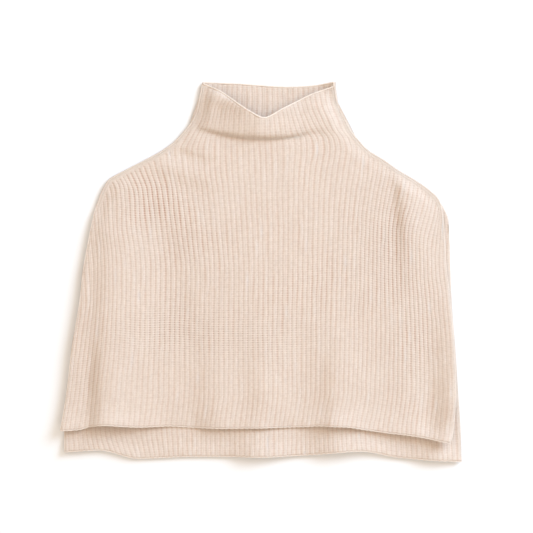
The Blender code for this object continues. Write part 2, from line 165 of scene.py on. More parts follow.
# A soft ridge along a line of points (x, y, height), which runs down or to the right, and how far it
# reaches to its lower and its higher side in x or y. It is a trough where its heights are negative
Fold = namedtuple("Fold", "name line low_width high_width")
FRONT_FOLDS = (
    Fold("neck crease", ((-95, 218, -2), (-64, 213, -3), (-34, 209, -4), (5, 207, -4),
                         (35, 207, -3.5), (91, 214, -2)), 9, 6),
    Fold("neck lip", ((-85, 226, 1.5), (-50, 220, 4), (-15, 217, 4.5), (15, 215, 4.5), (45, 216, 3.5),
                      (75, 221, 1.5)), 6, 22),
    Fold("neck roll", ((-90, 262, 7), (-60, 263, 11), (-28, 258, 17), (0, 252, 20), (30, 248, 12),
                       (60, 248, 7), (100, 252, 5.5)), 37, 18),
    Fold("left neck edge", ((-66, 272, 3.5), (-30, 254, 2)), 13, 13),
    Fold("right neck edge", ((35, 253, 2), (80, 272, 4)), 13, 13),
    Fold("upper diagonal crease", ((-150, 190, -1), (-120, 180, -3.8), (-90, 171, -2.5), (-60, 162, 0)),
         16, 9),
    Fold("lower diagonal crease", ((-185, 153, -1), (-140, 139, -3.2), (-95, 125, -2.5), (-50, 110, 0)),
         22, 13),
    Fold("left shoulder", ((-240, 116, -2.5), (-252, 84, -1.5)), 20, 20),
    Fold("left ridge", ((-206, 150, 0), (-222, 105, 3), (-231, 60, 7), (-240, -90, 7.5), (-244, -240, 8)),
         24, 56),
    Fold("lower left ridge", ((-239, -50, 0), (-242, -150, 3), (-244, -240, 4)), 11, 40),
    Fold("left valley", ((-172, 110, -1.5), (-155, 57, -3), (-124, -59, -3.5), (-116, -240, -3.5)),
         42, 28),
    Fold("left edge", ((-256, 95, 0.5), (-267, 40, 1), (-281, -50, 4.5), (-297, -165, 4.5),
                       (-310, -244, 6)), 24, 24),
    Fold("left edge valley", ((-262, -100, 0), (-265, -170, -2), (-268, -240, -2)), 8, 8),
    Fold("left hem ridge", ((-74, -110, 0), (-70, -190, 3), (-66, -240, 4)), 24, 30),
    Fold("middle hem ridge", ((2, -90, 0), (1, -180, 4.5), (1, -240, 3)), 20, 36),
    Fold("right hem valley", ((66, -100, 0), (63, -160, -2), (60, -240, -1.5)), 24, 24),
    Fold("right hem ridge", ((118, -80, 0), (116, -160, 6), (114, -240, 6)), 18, 46),
    Fold("right shoulder valley", ((203, 140, -1.5), (207, 70, -1.8), (209, -10, -0.5)), 9, 9),
    Fold("right shoulder ridge", ((218, 140, 5), (224, 70, 5.5), (227, -20, 0.5)), 13, 28),
    Fold("right side turned down", ((288, 120, -3), (292, 20, -3.5), (296, -50, -1)), 28, 14),
    Fold("right side trough", ((262, -50, 0), (260, -240, -3.5)), 22, 16),
    Fold("right side rim", ((297, -20, 0.5), (299, -140, 6.5), (295, -230, 10.5), (288, -262, 9.5)),
         22, 12),
    Fold("left hem lift", ((-300, -244, 2), (-230, -236, 3.5), (-160, -238, 1)), 15, 15),
    Fold("hem lying close", ((-140, -238, -1), (-104, -240, -2), (-90, -240, 0)), 13, 13),
    Fold("middle of the hem lying close", ((-8, -240, 0), (25, -240, -3), (52, -239, -2)), 13, 13),
    Fold("hem lifted beside the ridge", ((66, -239, 1.5), (108, -237, 3), (140, -239, 1)), 14, 14),
    Fold("right hem lift", ((180, -246, 1), (240, -253, 6), (275, -259, 4)), 16, 16),
)

# The right corner of the neck stands off the floor, back and front together
NECK_CORNER = Fold("right neck corner", ((121, 256, 0), (114, 296, 10)), 18, 18)

# The underside of the neck roll slumps down over the crease by these distances (x, y, drop)
NECK_SLUMP = Fold("slump", ((-95, 226, 1.5), (-64, 221, 4.5), (-34, 216, 6), (5, 214, 6), (35, 214, 4.5),
                            (66, 218, 2)), 7, 16)

# Shares of their full depth that the ribs and the stitches show everywhere, and the places of the front
# where they show more of it, or less where the cloth is stretched
# The same shares scale the painted shade in the valleys and between the stitches.
RIBS_CLEAR = 0.72
STITCHES_CLEAR = 0.85
LEAST_CLEAR = 0.1              # and never less than this share
Spot = namedtuple("Spot", "x y reach_x reach_y ribs stitches")
FRONT_SPOTS = (
    Spot(-165, 95, 55, 45, 0.75, 1.6),
    Spot(-195, 140, 65, 28, 0.6, 0.5),
    Spot(-105, 45, 60, 60, 0.3, 0.9),
    Spot(-130, -95, 130, 38, 0.15, 1.9),
    Spot(20, -105, 90, 40, 0.0, 1.3),
    Spot(60, -30, 110, 45, 0.15, 0.8),
    Spot(140, 30, 60, 70, 0.2, 0.7),
    Spot(212, 55, 42, 90, 0.55, 1.6),
    Spot(238, -110, 45, 90, 0.4, 1.5),
    Spot(-145, -72, 45, 40, 0.25, 0.9),
    Spot(-275, -165, 22, 50, 0.2, 1.3),
    Spot(-175, -190, 55, 55, -0.2, -0.1),
    Spot(-32, 226, 52, 17, -0.45, -0.3),
    Spot(284, -150, 20, 90, -0.3, -0.3),
)

# A wave that lifts the back's hem off the floor, and the front's with it
Wave = namedtuple("Wave", "x low_width high_width height")
BACK_WAVES = (
    Wave(-290, 60, 70, 4.0),
    Wave(-8, 30, 46, 12.0),
    Wave(120, 34, 48, 13.0),
    Wave(268, 28, 36, 7.5),
)
WAVE_REACH = 80.0              # the waves die away over this distance up from the hem
HEM_LIFT = 3.0                 # the back's hem stands this far off the floor between the waves
HEM_LIFT_REACH = 25.0          # and comes down to it over this distance up from the hem

# Chain-stitch edges: half the width and height of a chain, the length of a link, and the points round it
Chain = namedtuple("Chain", "half_width half_height link sides")
HEM_EDGE = Chain(0.8, 0.9, 3.6, 8)
NECK_EDGE = Chain(1.3, 1.3, 3.6, 10)
SELVEDGE = Chain(0.8, 0.8, 8.4, 8)
BAND = Chain(1.6, 0.8, 4.2, 10)
HEM_SCALLOP = 0.4              # half the depth of the scallops that the ribs make in a hem
HEM_EDGE_HEIGHT = 1.9          # from the cloth's lower face to the middle of an edge's chain
NECK_EDGE_HEIGHT = 2.3
BAND_HEIGHT = 2.7
BAND_INSETS = (1.9, 5.2)       # from the seam to the middles of the two rows of a fashioned band
BAND_ENDS = 4.0                # a band starts this far below the shoulder corner and stops as far
                               # below the neck edge
SELVEDGE_INSET = 0.9           # from an open side to the middle of its chain
RIB_POINTS = 8                 # points to a rib along the path of a hem or neck edge
SIDE_POINTS = 300              # points along the path up a side
CHAIN_STEPS = 4                # rings of points to a link
CHAIN_PINCH = 0.16             # how much a chain narrows between its links
CHAIN_END = 0.5                # size of its two ends, against the rest of it
CHAIN_SPREAD = 0.3             # how far across a rib its colours go, to each side of the middle

# Colours, as linear light
CREST_COLOUR = (0.67, 0.57, 0.50, 1.0)
# painted shade: the valleys of the ribs are coloured darker and warmer than the crests
PAINTED_VALLEY_SHADE_COLOUR = (0.55, 0.375, 0.295, 1.0)
# painted highlight: the chain-stitch edges are a paler copy of the wool
EDGE_HIGHLIGHT_COLOUR = (0.82, 0.72, 0.64, 1.0)
FLOOR_COLOUR = (0.785, 0.785, 0.80, 1.0)
TONE_AND_SHADE_POWERS = (0.78, 1.0, 1.12)  # how strongly darker yarn, from painted shade between stitches and uneven tone, is darker in red, green and blue

# Wool. Distances across are in ribs from the middle of one, and along in courses
Noise = namedtuple("Noise", "scale detail roughness")
FIBRE_NOISE = Noise(1400.0, 3.0, 0.65)
# patches in the strength of the painted valley shade
VALLEY_SHADE_NOISE = Noise(16.0, 3.0, 0.5)
PATCH_NOISE = Noise(22.0, 2.0, 0.5)
FLECK_NOISE = Noise(900.0, 2.0, 0.5)
FLOOR_NOISE = Noise(3.0, 2.0, 0.5)
# A smooth change from one value to another while what drives it goes from low to high
Ramp = namedtuple("Ramp", "low high to_low to_high")
LEG_RAMP = Ramp(0.0, 0.13, 1.0, 0.0)            # height of a leg, by the distance from its line
VALLEY_SHADE_RAMP = Ramp(0.30, 0.47, 0.0, 1.0)        # painted shade in the valleys, by the distance across
VALLEY_SHADE_NOISE_RAMP = Ramp(0.35, 0.65, 0.35, 0.65)  # its strength, which is patchy
PAINTED_GAP_SHADE_RAMP = Ramp(-1.0, 1.0, 0.6, -0.4)       # painted shade between the stitches of a rib
STITCH_RAMP = Ramp(0.0, 1.0, 0.965, 1.03)       # shade of one stitch against the next
PATCH_RAMP = Ramp(0.3, 0.7, 0.97, 1.0)          # shade of broad patches
FLECK_RAMP = Ramp(0.25, 0.75, 0.92, 1.04)       # shade of fine flecks
ROUGHNESS_RAMP = Ramp(0.2, 0.8, 0.86, 0.98)     # roughness, by the fibre noise
FLOOR_RAMP = Ramp(0.3, 0.7, 0.0, 1.0)           # mottle of the floor
LEG_FOOT = 0.10                # a leg's line starts this far from the middle of the rib
LEG_SPREAD = 0.20              # and spreads by this much over a course
TWIST_ACROSS = 55.0            # radians of the yarn's twist for each rib across
TWIST_ALONG = 25.0             # and for each course along
TWIST_HEIGHT = 0.10            # heights of the twist and the fibres against a leg's
FIBRE_HEIGHT = 0.55
BUMP_STRENGTH = 0.55
BUMP_DISTANCE = 0.0007         # in metres
CREST_GAP_SHADE = 0.04              # how deep the painted shade between stitches gets on a crest
VALLEY_GAP_SHADE = 0.10             # and how much deeper it is in a valley
WOOL_SPECULAR = 0.18
KNIT_GLOW = 0.4                # share of the light that scatters in the yarn
EDGE_GLOW = 0.0
GLOW_SCALE = 0.0022            # how far it scatters, in metres
GLOW_RADIUS = (1.0, 0.85, 0.75)
SHEEN = 0.15
SHEEN_ROUGHNESS = 0.55
SHEEN_TINT = (1.0, 0.93, 0.86, 1.0)
FLOOR_MOTTLE = 1.01            # the floor's paler patches against its colour
FLOOR_ROUGHNESS = 0.9
FLOOR_SPECULAR = 0.1

# Camera and light, in metres
CAMERA_PLACE = (0.0081, 0.0085, 2.2)
CAMERA_LENS = 95.9
CAMERA_SENSOR = 36.0
KEY_PLACE = (3.31, 2.59, 2.62)
KEY_SIZE = 2.7
KEY_POWER = 282.0
KEY_COLOUR = (0.60, 0.79, 1.0)
FILL_PLACE = (0.0, 0.0, 2.6)
FILL_SIZE = 4.2
FILL_POWER = 61.0
FILL_COLOUR = (1.0, 0.85, 0.67)
SKY_COLOUR = (1.0, 0.93, 0.85, 1.0)
SKY_STRENGTH = 0.60
FLOOR_HALF = 12.0
FLOOR_DROP = 0.0004            # the floor lies this far under the back panel


def ease(amount):
    """0 below 0, 1 above 1, and a smooth rise between."""
    amount = np.clip(amount, 0.0, 1.0)
    return amount * amount * (3.0 - 2.0 * amount)


def hermite(t, start, end, start_tangent, end_tangent):
    """The cubic from start to end, with the given slopes at its ends, for t from 0 to 1."""
    rise = t * t * (3.0 - 2.0 * t)
    return (start + (end - start) * rise + start_tangent * t * (1.0 - t) ** 2
            - end_tangent * t * t * (1.0 - t))


def smooth_curve(points):
    """The function whose curve runs smoothly through (at, value) points and doesn't overshoot them."""
    at, value = np.array(sorted(points), dtype=float).T
    step = np.diff(at)
    slope = np.diff(value) / step
    both = slope[:-1] * slope[1:]
    tangent = np.concatenate(([slope[0]], np.zeros(len(both)), [slope[-1]]))
    inner = both > 0.0
    tangent[1:-1][inner] = 2.0 * both[inner] / (slope[:-1] + slope[1:])[inner]

    def curve(where):
        where = np.clip(where, at[0], at[-1])
        i = np.clip(np.searchsorted(at, where, side="right") - 1, 0, len(step) - 1)
        return hermite((where - at[i]) / step[i], value[i], value[i + 1],
                       tangent[i] * step[i], tangent[i + 1] * step[i])
    return curve


def near_line(x, y, line):
    """Distance from points to a line of points (x, y, value), the value there, and their side of it.

    The side is -1 below or left of a line that runs to the right or down, 1 on the other side, and between
    the two beyond its ends.
    """
    corners = np.array(line, dtype=float)
    nearest = np.full(np.shape(x), np.inf)
    value, side = np.zeros(np.shape(x)), np.zeros(np.shape(x))
    for (x0, y0, start), (x1, y1, end) in zip(corners[:-1], corners[1:]):
        length = np.hypot(x1 - x0, y1 - y0)
        unit_x, unit_y = (x1 - x0) / length, (y1 - y0) / length
        step = np.clip((x - x0) * unit_x + (y - y0) * unit_y, 0.0, length)
        off_x, off_y = x - x0 - step * unit_x, y - y0 - step * unit_y
        away = np.hypot(off_x, off_y)
        closer = away < nearest
        value = np.where(closer, start + (end - start) * step / length, value)
        side = np.where(closer, (unit_x * off_y - unit_y * off_x) / np.maximum(away, 1e-9), side)
        nearest = np.where(closer, away, nearest)
    return nearest, value, side


def hump(away, side, low_width, high_width):
    """A smooth hump, 1 at its crest, with a width of its own on each side."""
    width = 0.5 * (low_width + high_width + (high_width - low_width) * side)
    return np.exp(-(away / width) ** 2)


def fold_height(x, y, fold):
    """Height of a fold at points: its line's value there, falling away to both sides."""
    away, value, side = near_line(x, y, fold.line)
    return value * hump(away, side, fold.low_width, fold.high_width)


class Panel:
    """The outline of a panel and the lines of its ribs."""

    def __init__(self, sides, shoulders, neck_top, guides, hem, neck):
        sections = sides + shoulders + (neck_top,)
        self.neck_top = neck_top
        self.left = smooth_curve((s.height, s.left_x) for s in sections)
        self.right = smooth_curve((s.height, s.right_x) for s in sections)
        left_ends = {s.left_rib: s.height for s in sections}
        right_ends = {s.right_rib: s.height for s in sections}
        self.left_end = smooth_curve(left_ends.items())
        self.right_end = smooth_curve(right_ends.items())
        self.hem = smooth_curve(hem)
        self.neck = smooth_curve(neck)
        self.guide_ribs = (0,) + GUIDE_RIBS + (RIBS,)
        self.guides = [self.side_line(self.left, left_ends[0])]
        for column in range(len(GUIDE_RIBS)):
            self.guides.append(smooth_curve((row.height, row[column + 1]) for row in guides))
        self.guides.append(self.side_line(self.right, right_ends[RIBS]))

    @staticmethod
    def side_line(edge, end_height):
        """A side edge up to where its rib ends, and straight on above that."""
        return lambda y: edge(np.minimum(y, end_height))

    def free_rib_x(self, rib, y):
        """x at heights y on a rib's line, before it is bent to meet the edge."""
        lines = [guide(y) for guide in self.guides]
        ribs = self.guide_ribs
        last = len(ribs) - 1
        i = min(np.searchsorted(ribs, rib, side="right") - 1, last - 1)
        width = ribs[i + 1] - ribs[i]
        before, after = max(i - 1, 0), min(i + 2, last)
        start_slope = (lines[i + 1] - lines[before]) / (ribs[i + 1] - ribs[before])
        end_slope = (lines[after] - lines[i]) / (ribs[after] - ribs[i])
        return hermite((rib - ribs[i]) / width, lines[i], lines[i + 1],
                       start_slope * width, end_slope * width)

    def column_ends(self, rib):
        """Heights of a rib line's two ends, and how far its top is moved to meet the edge."""
        bottom = 0.0
        for _ in range(SETTLE_STEPS):
            bottom = float(self.hem(self.free_rib_x(rib, bottom)))
        if self.neck_top.left_rib < rib < self.neck_top.right_rib:
            top = 0.0
            for _ in range(SETTLE_STEPS):
                top = float(self.neck(self.free_rib_x(rib, top)))
            return bottom, top, 0.0
        on_left = rib <= self.neck_top.left_rib
        top = float(self.left_end(rib) if on_left else self.right_end(rib))
        edge = self.left if on_left else self.right
        return bottom, top, float(edge(top) - self.free_rib_x(rib, top))

    def column(self, rib):
        """x, y and course numbers of the points up a rib's line, from the hem to where the rib ends."""
        bottom, top, shift = self.column_ends(rib)
        row = COURSE / ROWS_PER_COURSE
        # the last row takes up what is left, which is at least half a row
        whole_rows = max(int((top - bottom) / row - 0.5), 1)
        y = np.append(bottom + row * np.arange(whole_rows + 1), top)
        x = self.free_rib_x(rib, y) + shift * ease(1.0 - (top - y) / BEND_LENGTH)
        return x, y, (y - bottom) / COURSE

    def area(self):
        """Area inside the outline."""
        x, y = (np.linspace(-reach, reach, int(2.0 * reach / AREA_STEP) + 1) for reach in AREA_REACH)
        grid_x, grid_y = np.meshgrid(x, y)
        inside = ((grid_x > self.left(grid_y)) & (grid_x < self.right(grid_y))
                  & (grid_y > self.hem(grid_x)) & (grid_y < self.neck(grid_x)))
        return inside.sum() * (x[1] - x[0]) * (y[1] - y[0])


FRONT_SHOULDERS = tuple(Section(s.height, s.left_x, s.front_left, s.right_x, s.front_right)
                        for s in SHOULDERS)
BACK_SHOULDERS = tuple(Section(s.height, s.left_x, s.back_left, s.right_x, s.back_right)
                       for s in SHOULDERS)
FRONT = Panel(FRONT_SIDES, FRONT_SHOULDERS, FRONT_NECK_TOP, FRONT_GUIDES, FRONT_HEM, FRONT_NECK)
BACK = Panel(BACK_SIDES, BACK_SHOULDERS, BACK_NECK_TOP, BACK_GUIDES, BACK_HEM, BACK_NECK)
SEAM_HEIGHTS = np.linspace(CORNER_HEIGHT, BACK_NECK_TOP.height, SEAM_POINTS)
SEAMS = ([(BACK.left(y), y, 0.0) for y in SEAM_HEIGHTS],
         [(BACK.right(y), y, 0.0) for y in SEAM_HEIGHTS])


def seam_distance(x, y):
    """Distance to the nearer of the two linked edges."""
    return np.minimum(near_line(x, y, SEAMS[0])[0], near_line(x, y, SEAMS[1])[0])


def back_floor(x, y):
    """Height of the back's lower face: on the floor but for its hem and one corner of the neck."""
    above_hem = y - BACK.hem(x)
    height = 0.0
    for wave in BACK_WAVES:
        away = x - wave.x
        share = hump(np.abs(away), np.sign(away), wave.low_width, wave.high_width)
        height = height + wave.height * share
    waves = ease(1.0 - above_hem / WAVE_REACH) * height
    hem_lift = HEM_LIFT * ease(1.0 - above_hem / HEM_LIFT_REACH)
    return waves + hem_lift + fold_height(x, y, NECK_CORNER)


def front_lift(x, y):
    """How far the front's lower face lies off the back: the loft, the folds and the rounded edges."""
    lift = np.full(np.shape(x), LOFT)
    for fold in FRONT_FOLDS:
        lift = lift + fold_height(x, y, fold)
    lift = 0.5 * (lift + np.sqrt(lift * lift + CONTACT_ROUND ** 2))
    return lift * ease(seam_distance(x, y) / SEAM_ROLL)


def front_floor(x, y):
    """Height of the front's lower face, clear of the back's rib crests."""
    return back_floor(x, y) + THICKNESS + SEAM_GAP + front_lift(x, y)


def back_place(x, y, above):
    """Points of the back, a height above its lower face."""
    return np.stack((x, y, back_floor(x, y) + above), axis=-1)


def front_place(x, y, above):
    """Points of the front, a height above its lower face, with the neck roll slumped over its crease."""
    drop = fold_height(x, y, NECK_SLUMP) * ease(seam_distance(x, y) / SEAM_ROLL)
    return np.stack((x, y - drop, front_floor(x, y) + above), axis=-1)


def stitch_columns():
    """Rib numbers of the upper face's columns: a valley and the two legs of a stitch for each rib."""
    parts = (0.0, 0.5 - LEG, 0.5 + LEG)
    return [rib + part for rib in range(RIBS) for part in parts] + [float(RIBS)]


def slow_noise(random, rib, course):
    """Noise of its own for each rib, that changes slowly up the rib."""
    at = course / LUMP_COURSES
    low = at.astype(int)
    part = ease(at - low)
    column = rib.astype(int)
    knots = random.normal(size=(column.max() + 1, low.max() + 2))
    return knots[column, low] * (1.0 - part) + knots[column, low + 1] * part


def clearness(x, y, spots):
    """Shares of their full depth that the ribs and the stitches show at points."""
    ribs = np.full(np.shape(x), RIBS_CLEAR)
    stitches = np.full(np.shape(x), STITCHES_CLEAR)
    for spot in spots:
        near = np.exp(-((x - spot.x) / spot.reach_x) ** 2 - ((y - spot.y) / spot.reach_y) ** 2)
        ribs = ribs + spot.ribs * near
        stitches = stitches + spot.stitches * near
    return np.maximum(ribs, LEAST_CLEAR), np.maximum(stitches, LEAST_CLEAR)


def stitch_relief(random, rib, course, ribs_clear, stitches_clear):
    """Sideways move, in ribs, and height over the crest of each point of the stitches."""
    part = rib - np.floor(rib)
    on_leg = part > 0.0
    swing = np.cos(2.0 * np.pi * course)
    sideways = np.where(on_leg, np.sign(part - 0.5) * swing * LEG_SWING, 0.0)
    height = np.where(on_leg, BEAD, DIMPLE) * swing * stitches_clear
    height = height - np.where(on_leg, 0.0, RIB_DEPTH * ribs_clear)
    sideways = sideways + WANDER * slow_noise(random, rib, course)
    height = height + LUMP * slow_noise(random, rib, course)
    return sideways, height + STITCH_LUMP * random.normal(size=len(rib))


def zip_columns(left, right, rows_left, rows_right):
    """Faces between two neighbouring columns of point numbers, which may end at different heights."""
    paired = min(len(left), len(right)) - 2
    faces = [(left[j], right[j], right[j + 1], left[j + 1]) for j in range(paired)]
    a = b = paired
    while a < len(left) - 1 or b < len(right) - 1:
        left_next = rows_left[a + 1] if a < len(left) - 1 else np.inf
        right_next = rows_right[b + 1] if b < len(right) - 1 else np.inf
        if left_next <= right_next:
            faces.append((left[a], right[b], left[a + 1]))
            a += 1
        else:
            faces.append((left[a], right[b], right[b + 1]))
            b += 1
    return faces


def closing_strip(fine, coarse, places):
    """Triangles between a fine row of points and a coarse one, whose points face some of the fine ones."""
    triangles = []
    for k in range(len(coarse) - 1):
        start, end = places[k], places[k + 1]
        middle = (start + end + 1) // 2
        triangles += [(fine[i], fine[i + 1], coarse[k]) for i in range(start, middle)]
        triangles.append((coarse[k], fine[middle], coarse[k + 1]))
        triangles += [(fine[i], fine[i + 1], coarse[k + 1]) for i in range(middle, end)]
    return triangles


def plain_column(panel, rib):
    """Whether a column of stitches is also one of the plain lower face."""
    corners = (panel.neck_top.left_rib, panel.neck_top.right_rib)
    near_corner = any(abs(rib - corner) < CORNER_RIBS for corner in corners)
    return rib % PLAIN_RIBS == 0 or near_corner


def lower_face(panel, place, ribs, columns, count):
    """The plain lower face: which columns it has, their point numbers from count on, heights and points."""
    places = [i for i, rib in enumerate(ribs) if plain_column(panel, rib)]
    numbers, rows, points = [], [], []
    for i in places:
        x, y, _ = columns[i]
        kept = list(range(0, len(y) - PLAIN_ROWS // 2, PLAIN_ROWS)) + [len(y) - 1]
        numbers.append(list(range(count, count + len(kept))))
        rows.append([y[j] for j in kept])
        points.append(place(x[kept], y[kept], 0.0))
        count += len(kept)
    return places, numbers, rows, points


def edge_faces(top, low, rows, low_rows, places):
    """Faces that join the upper and the lower face along the hem, the neck and the two sides."""
    hem = closing_strip([column[0] for column in top], [column[0] for column in low], places)
    neck = closing_strip([column[-1] for column in top], [column[-1] for column in low], places)
    left_kept = [list(rows[0]).index(row) for row in low_rows[0]]
    right_kept = [list(rows[-1]).index(row) for row in low_rows[-1]]
    left = closing_strip(top[0], low[0], left_kept)
    right = closing_strip(top[-1], low[-1], right_kept)
    return [face[::-1] for face in hem + right] + neck + left


def knit_shell(name, panel, place, spots, seed):
    """One closed shell: stitches on the upper face, a plain lower face, and rounded edges."""
    random = np.random.default_rng(seed)
    ribs = stitch_columns()
    columns = [panel.column(rib) for rib in ribs]
    sizes = [len(column[0]) for column in columns]
    starts = np.concatenate(([0], np.cumsum(sizes)))
    x = np.concatenate([column[0] for column in columns])
    y = np.concatenate([column[1] for column in columns])
    course = np.concatenate([column[2] for column in columns])
    rib = np.repeat(ribs, sizes)

    from_band = seam_distance(x, y) - EDGE_BAND
    fade = ease((from_band + BAND_FADE) / (2.0 * BAND_FADE))
    ribs_clear, stitches_clear = clearness(x, y, spots)
    sideways, height = stitch_relief(random, rib, course, ribs_clear, stitches_clear)
    inner = (rib > 0) & (rib < RIBS)
    sideways = np.where(inner, sideways * fade * RIB_PITCH, 0.0)
    to_edge = np.minimum(np.minimum(x - panel.left(y), panel.right(y) - x),
                         np.minimum(y - panel.hem(x), panel.neck(x) - y))
    rounding = THICKNESS * 0.5 * (1.0 - ease(to_edge / HEM_ROUND))
    upper = place(x + sideways, y, THICKNESS + height * fade - rounding)

    top = [list(range(starts[i], starts[i + 1])) for i in range(len(ribs))]
    rows = [column[1] for column in columns]
    places, low, low_rows, low_points = lower_face(panel, place, ribs, columns, len(upper))
    faces = []
    for i in range(len(top) - 1):
        faces += zip_columns(top[i], top[i + 1], rows[i], rows[i + 1])
    for i in range(len(low) - 1):
        strip = zip_columns(low[i], low[i + 1], low_rows[i], low_rows[i + 1])
        faces += [face[::-1] for face in strip]
    faces += edge_faces(top, low, rows, low_rows, places)

    # the plain band and the lower face take the colour of the middle of a rib
    points = np.concatenate([upper] + low_points)
    crest = np.floor(rib) + 0.5
    knit_rib = np.where(inner, crest + (rib - crest) * fade, rib)
    low_uv = np.full((len(points) - len(upper), 2), 0.5)
    uv = np.concatenate((np.stack((knit_rib, course), axis=-1), low_uv))
    clear = np.concatenate((np.stack((ribs_clear, stitches_clear), axis=-1), np.ones_like(low_uv)))
    return mesh_object(name, points, faces, uv, clear)


def mesh_object(name, points, faces, uv, clear):
    """An object of millimetre points, with their rib and course numbers and their clearness as UVs."""
    mesh = bpy.data.meshes.new(name)
    mesh.from_pydata((points * MM).tolist(), [], faces)
    corner = np.zeros(len(mesh.loops), dtype=np.int32)
    mesh.loops.foreach_get("vertex_index", corner)
    for layer_name, values in (("knit", uv), ("clear", clear)):
        layer = mesh.uv_layers.new(name=layer_name)
        layer.data.foreach_set("uv", values[corner].astype(np.float32).ravel())
    mesh.shade_smooth()
    mesh.update()
    made = bpy.data.objects.new(name, mesh)
    bpy.context.scene.collection.objects.link(made)
    return made


def even_steps(path, step):
    """Points a step apart along a path, and their distances along it."""
    lengths = np.linalg.norm(np.diff(path, axis=0), axis=1)
    along = np.concatenate(([0.0], np.cumsum(lengths)))
    count = max(int(round(along[-1] / step)), 2)
    at = np.linspace(0.0, along[-1], count + 1)
    return np.stack([np.interp(at, along, path[:, k]) for k in range(3)], axis=-1), at


def chain(path, style):
    """Points, faces and UVs of a closed chain of stitches along a path."""
    centre, along = even_steps(path, style.link / CHAIN_STEPS)
    tangent = np.gradient(centre, axis=0)
    tangent /= np.linalg.norm(tangent, axis=1)[:, None]
    side = np.cross(tangent, (0.0, 0.0, 1.0))
    side /= np.linalg.norm(side, axis=1)[:, None]
    above = np.cross(side, tangent)
    swell = 1.0 - CHAIN_PINCH * np.cos(np.pi * along / style.link) ** 2
    swell[[0, -1]] *= CHAIN_END
    angle = 2.0 * np.pi * np.arange(style.sides) / style.sides
    ring = (side[:, None] * (np.cos(angle) * style.half_width)[None, :, None]
            + above[:, None] * (np.sin(angle) * style.half_height)[None, :, None])
    points = (centre[:, None] + ring * swell[:, None, None]).reshape(-1, 3)
    number = np.arange(len(points)).reshape(len(centre), style.sides)
    faces = [tuple(number[0]), tuple(number[-1][::-1])]
    for low, high in zip(number[:-1], number[1:]):
        for k in range(style.sides):
            after = (k + 1) % style.sides
            faces.append((low[k], high[k], high[after], low[after]))
    across = np.tile(0.5 + CHAIN_SPREAD * np.cos(angle), len(centre))
    uv = np.stack((across, np.repeat(along / style.link, style.sides)), axis=-1)
    return points, faces, uv


def chains_object(name, parts):
    """One object of several chains."""
    points, faces, uvs, count = [], [], [], 0
    for part_points, part_faces, part_uv in parts:
        points.append(part_points)
        faces += [tuple(int(i) + count for i in face) for face in part_faces]
        uvs.append(part_uv)
        count += len(part_points)
    clear = np.ones((count, 2))
    return mesh_object(name, np.concatenate(points), faces, np.concatenate(uvs), clear)


def across_path(panel, place, edge, first, last, above):
    """The path of a hem or neck edge, between two ribs, at a height over the cloth's lower face."""
    at = np.linspace(first, last, RIB_POINTS * (last - first) + 1)
    ends = [panel.column_ends(rib) for rib in at]
    y = np.array([end[0] if edge == "hem" else end[1] for end in ends])
    x = np.array([float(panel.free_rib_x(rib, height)) for rib, height in zip(at, y)])
    if edge == "hem":
        y = y + HEM_SCALLOP * np.cos(2.0 * np.pi * at)
    return place(x, y, above)


def side_path(panel, place, edge, low, high, inset, above):
    """A path up an edge of the outline, moved in from it and up from the cloth's lower face."""
    y = np.linspace(low, high, SIDE_POINTS)
    x = edge(y)
    slope = np.gradient(x, y)
    inward = 1.0 if edge is panel.left else -1.0
    length = np.hypot(1.0, slope)
    return place(x + inward * inset / length, y - inward * inset * slope / length, above)


def panel_edges(name, panel, place):
    """The chain-stitch edges of a panel: hem, neck and the two open sides."""
    neck_ribs = panel.neck_top.left_rib, panel.neck_top.right_rib
    hem = across_path(panel, place, "hem", 0, RIBS, HEM_EDGE_HEIGHT)
    neck = across_path(panel, place, "neck", *neck_ribs, NECK_EDGE_HEIGHT)
    left, right = (side_path(panel, place, edge, start, CORNER_HEIGHT, SELVEDGE_INSET, HEM_EDGE_HEIGHT)
                   for edge, start in ((panel.left, hem[0, 1]), (panel.right, hem[-1, 1])))
    parts = [chain(hem, HEM_EDGE), chain(neck, NECK_EDGE)]
    parts += [chain(left, SELVEDGE), chain(right, SELVEDGE)]
    return chains_object(name, parts)


def fashioned_bands(name, panel, place):
    """The bands of stitches that run along the shoulders and the sides of the neck."""
    parts = []
    for edge in (panel.left, panel.right):
        top = panel.neck_top.height - BAND_ENDS
        for inset in BAND_INSETS:
            path = side_path(panel, place, edge, CORNER_HEIGHT - BAND_ENDS, top, inset, BAND_HEIGHT)
            parts.append(chain(path, BAND))
    return chains_object(name, parts)


